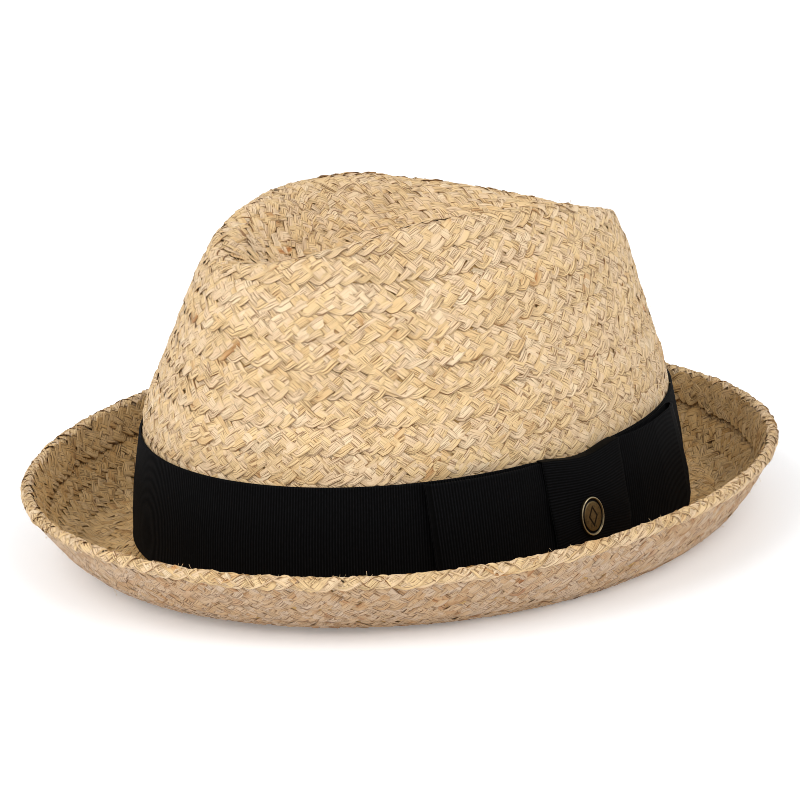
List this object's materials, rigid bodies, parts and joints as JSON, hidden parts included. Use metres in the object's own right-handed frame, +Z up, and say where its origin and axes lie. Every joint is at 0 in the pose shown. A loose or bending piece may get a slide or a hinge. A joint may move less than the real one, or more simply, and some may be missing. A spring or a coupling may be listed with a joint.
{
  "type": "trilby hat",
  "caption": "Braided straw trilby with a teardrop crown, a brim curled up all round, a black grosgrain band with a flat side bow, and a small oval pin.",
  "frame": {"origin": "on the surface that the hat rests on, under the middle of the brim", "axes": "+Z up, -Y towards the front of the hat, +X towards the wearer's left"},
  "size_m": [0.245, 0.2736, 0.1213],
  "materials": {
    "straw": "matte plaited raffia braid",
    "ribbon": "ribbed black grosgrain",
    "badge": "aged brass with a worn bright rim"
  },
  "bodies": {
    "root": {"crown_and_brim": "straw", "hat_band": "ribbon", "bow_loop": "ribbon", "bow_knot": "ribbon", "badge_pin": "badge"}
  },
  "joints": []
}
